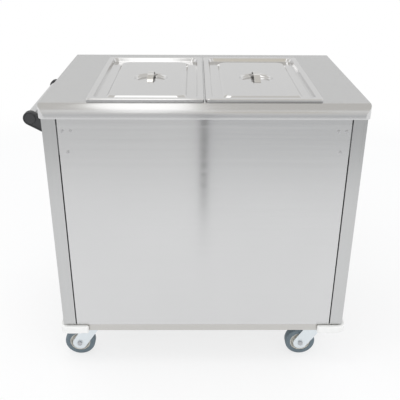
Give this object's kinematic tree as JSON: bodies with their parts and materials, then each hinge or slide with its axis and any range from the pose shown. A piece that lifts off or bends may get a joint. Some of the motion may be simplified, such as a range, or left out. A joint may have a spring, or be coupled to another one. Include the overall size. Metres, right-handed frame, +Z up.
{
  "type": "hostess trolley",
  "caption": "Stainless heated serving trolley: two lidded food pans in a rolled-edge worktop over a double-door hot cupboard, on swivel castors with corner bumpers and a push handle.",
  "frame": {"origin": "on the floor, under the middle of the whole trolley's bounding box, push handle and door handles included", "axes": "+Z up; +X along the worktop, away from the push handle; -Y out of the plain panel that the picture shows; +Y out of the doors and controls"},
  "size_m": [0.9975, 0.6924, 0.919],
  "materials": {
    "stainless_panel": "fine horizontal or vertical brushing",
    "stainless_top": "soft satin",
    "stainless_inner": "dull mill finish",
    "stainless_pan": "bright polished",
    "stainless_tube": "polished tube",
    "hinge_steel": "satin",
    "element_sheath": "heat-darkened",
    "zinc": "bright zinc plating, slightly blue",
    "screw_steel": "satin",
    "wheel_plastic": "light beige moulding",
    "tyre_rubber": "blue-grey non-marking rubber",
    "bumper_white": "white moulded plastic",
    "black_plastic": "fine-grained black moulding",
    "catch_plastic": "white moulding",
    "pedal_red": "red enamel",
    "rocker_red": "red translucent rocker",
    "lamp_amber": "amber lens"
  },
  "bodies": {
    "cabinet": {"chassis_frame": "stainless_panel", "corner_bumpers": "bumper_white", "castor_plates": "zinc", "castor_bolts": "zinc", "base_pan": "stainless_inner", "cable_gland": "black_plastic", "side_panel_left": "stainless_panel", "side_panel_right": "stainless_panel", "back_panel": "stainless_panel", "body_screws": "screw_steel", "worktop": "stainless_top", "well_tank": "stainless_inner", "well_element": "element_sheath", "cupboard_liner": "stainless_inner", "cupboard_element": "element_sheath", "shelf_supports": "stainless_inner", "shelf": "stainless_inner", "magnetic_catches": "catch_plastic", "hinge_leaves": "hinge_steel", "control_panel": "stainless_panel", "thermostats": "black_plastic", "switch_body": "black_plastic", "indicator_lamp": "lamp_amber", "handle_tube": "stainless_tube", "handle_brackets": "black_plastic"},
    "castor_front_left": {"castor_fork_front_left": "zinc", "castor_axle_front_left": "zinc"},
    "wheel_front_left": {"wheel_centre_front_left": "wheel_plastic", "tyre_front_left": "tyre_rubber"},
    "castor_front_right": {"castor_fork_front_right": "zinc", "castor_axle_front_right": "zinc"},
    "wheel_front_right": {"wheel_centre_front_right": "wheel_plastic", "tyre_front_right": "tyre_rubber"},
    "castor_rear_left": {"castor_fork_rear_left": "zinc", "castor_axle_rear_left": "zinc"},
    "wheel_rear_left": {"wheel_centre_rear_left": "wheel_plastic", "tyre_rear_left": "tyre_rubber"},
    "castor_rear_right": {"castor_fork_rear_right": "zinc", "castor_axle_rear_right": "zinc"},
    "wheel_rear_right": {"wheel_centre_rear_right": "wheel_plastic", "tyre_rear_right": "tyre_rubber"},
    "pedal_left": {"brake_pedal_left": "pedal_red"},
    "door_left": {"door_outer_left": "stainless_panel", "door_inner_left": "stainless_inner", "door_handle_left": "stainless_tube", "door_hinge_left": "hinge_steel"},
    "food_pan_left": {"pan_left": "stainless_pan"},
    "pan_lid_left": {"lid_left": "stainless_pan", "lid_handle_left": "stainless_pan"},
    "pedal_right": {"brake_pedal_right": "pedal_red"},
    "door_right": {"door_outer_right": "stainless_panel", "door_inner_right": "stainless_inner", "door_handle_right": "stainless_tube", "door_hinge_right": "hinge_steel"},
    "food_pan_right": {"pan_right": "stainless_pan"},
    "pan_lid_right": {"lid_right": "stainless_pan", "lid_handle_right": "stainless_pan"},
    "well_knob": {"knob_well": "black_plastic"},
    "cupboard_knob": {"knob_cupboard": "black_plastic"},
    "mains_rocker": {"rocker": "rocker_red"}
  },
  "joints": [
    {"name": "castor_front_left_swivel", "type": "hinge", "parent": "cabinet", "child": "castor_front_left", "pos_m": [-0.33675, -0.25875, 0.115], "axis": [0, 0, 1], "continuous": true},
    {"name": "wheel_front_left_roll", "type": "hinge", "parent": "castor_front_left", "child": "wheel_front_left", "pos_m": [-0.37875, -0.25875, 0.05], "axis": [0, 1, 0], "continuous": true},
    {"name": "castor_front_right_swivel", "type": "hinge", "parent": "cabinet", "child": "castor_front_right", "pos_m": [0.41125, -0.25875, 0.115], "axis": [0, 0, 1], "continuous": true},
    {"name": "wheel_front_right_roll", "type": "hinge", "parent": "castor_front_right", "child": "wheel_front_right", "pos_m": [0.36925, -0.25875, 0.05], "axis": [0, 1, 0], "continuous": true},
    {"name": "castor_rear_left_swivel", "type": "hinge", "parent": "cabinet", "child": "castor_rear_left", "pos_m": [-0.33675, 0.23925, 0.115], "axis": [0, 0, 1], "continuous": true},
    {"name": "wheel_rear_left_roll", "type": "hinge", "parent": "castor_rear_left", "child": "wheel_rear_left", "pos_m": [-0.37875, 0.23925, 0.05], "axis": [0, 1, 0], "continuous": true},
    {"name": "castor_rear_right_swivel", "type": "hinge", "parent": "cabinet", "child": "castor_rear_right", "pos_m": [0.41125, 0.23925, 0.115], "axis": [0, 0, 1], "continuous": true},
    {"name": "wheel_rear_right_roll", "type": "hinge", "parent": "castor_rear_right", "child": "wheel_rear_right", "pos_m": [0.36925, 0.23925, 0.05], "axis": [0, 1, 0], "continuous": true},
    {"name": "brake_pedal_left_press", "type": "hinge", "parent": "castor_rear_left", "child": "pedal_left", "pos_m": [-0.35475, 0.23925, 0.1032], "axis": [0, -1, 0], "range_deg": [0, 10]},
    {"name": "door_left_swing", "type": "hinge", "parent": "cabinet", "child": "door_left", "pos_m": [-0.36925, 0.32025, 0.4705], "axis": [0, 0, 1], "range_deg": [0, 170]},
    {"name": "pan_left_lift", "type": "slide", "parent": "cabinet", "child": "food_pan_left", "axis": [0, 0, 1], "range_m": [0, 0.3]},
    {"name": "lid_left_lift", "type": "slide", "parent": "food_pan_left", "child": "pan_lid_left", "axis": [0, 0, 1], "range_m": [0, 0.25]},
    {"name": "brake_pedal_right_press", "type": "hinge", "parent": "castor_rear_right", "child": "pedal_right", "pos_m": [0.39325, 0.23925, 0.1032], "axis": [0, -1, 0], "range_deg": [0, 10]},
    {"name": "door_right_swing", "type": "hinge", "parent": "cabinet", "child": "door_right", "pos_m": [0.44375, 0.32025, 0.4705], "axis": [0, 0, -1], "range_deg": [0, 170]},
    {"name": "pan_right_lift", "type": "slide", "parent": "cabinet", "child": "food_pan_right", "axis": [0, 0, 1], "range_m": [0, 0.3]},
    {"name": "lid_right_lift", "type": "slide", "parent": "food_pan_right", "child": "pan_lid_right", "axis": [0, 0, 1], "range_m": [0, 0.25]},
    {"name": "knob_well_turn", "type": "hinge", "parent": "cabinet", "child": "well_knob", "pos_m": [-0.22275, 0.32025, 0.816], "axis": [0, -1, 0], "range_deg": [0, 270]},
    {"name": "knob_cupboard_turn", "type": "hinge", "parent": "cabinet", "child": "cupboard_knob", "pos_m": [-0.11275, 0.32025, 0.816], "axis": [0, -1, 0], "range_deg": [0, 270]},
    {"name": "rocker_tip", "type": "hinge", "parent": "cabinet", "child": "mains_rocker", "pos_m": [0.18725, 0.31165, 0.816], "axis": [-1, 0, 0], "range_deg": [0, 16]}
  ]
}
